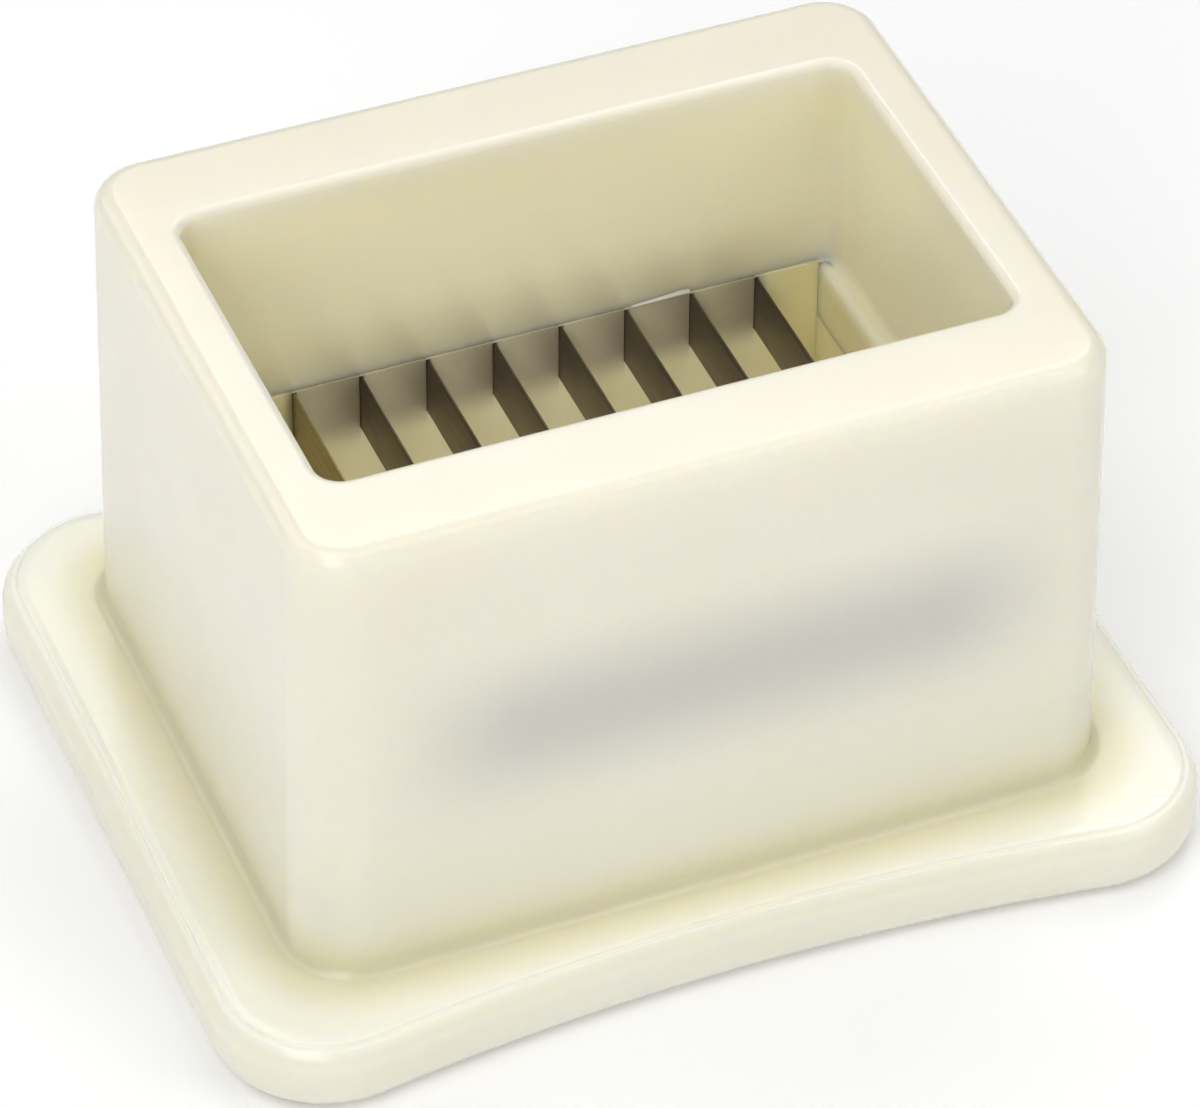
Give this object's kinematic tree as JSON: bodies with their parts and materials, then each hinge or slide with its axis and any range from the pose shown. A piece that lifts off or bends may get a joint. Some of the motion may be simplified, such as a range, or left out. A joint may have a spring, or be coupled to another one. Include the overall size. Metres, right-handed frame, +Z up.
{
  "type": "egg slicer",
  "caption": "Block egg slicer: a moulded housing with a rectangular chute over a fixed pack of upright blades, open underneath, on a waisted foot flange.",
  "frame": {"origin": "centre of the foot flange's underside, on the surface that the slicer stands on", "axes": "+X along the length and across the blades, +Y to the back along the blades, +Z up through the chute"},
  "size_m": [0.1256, 0.1034, 0.0728],
  "materials": {
    "ivory_housing_plastic": "translucent ivory plastic with a satin gloss",
    "ivory_cassette_plastic": "ivory plastic, duller than the housing",
    "blade_steel": "dark ground stainless strip",
    "fastener_steel": "plain stainless steel"
  },
  "bodies": {
    "root": {"housing": "ivory_housing_plastic", "retaining_frame": "ivory_cassette_plastic", "comb_front": "ivory_cassette_plastic", "comb_rear": "ivory_cassette_plastic", "end_bar_left": "ivory_cassette_plastic", "end_bar_right": "ivory_cassette_plastic", "blade_1": "blade_steel", "blade_2": "blade_steel", "blade_3": "blade_steel", "blade_4": "blade_steel", "blade_5": "blade_steel", "blade_6": "blade_steel", "blade_7": "blade_steel", "blade_8": "blade_steel", "tie_rod_front": "fastener_steel", "tie_rod_nut_front_left": "fastener_steel", "tie_rod_nut_front_right": "fastener_steel", "tie_rod_rear": "fastener_steel", "tie_rod_nut_rear_left": "fastener_steel", "tie_rod_nut_rear_right": "fastener_steel", "retaining_screw_1": "fastener_steel", "retaining_screw_2": "fastener_steel", "retaining_screw_3": "fastener_steel", "retaining_screw_4": "fastener_steel"}
  },
  "joints": []
}
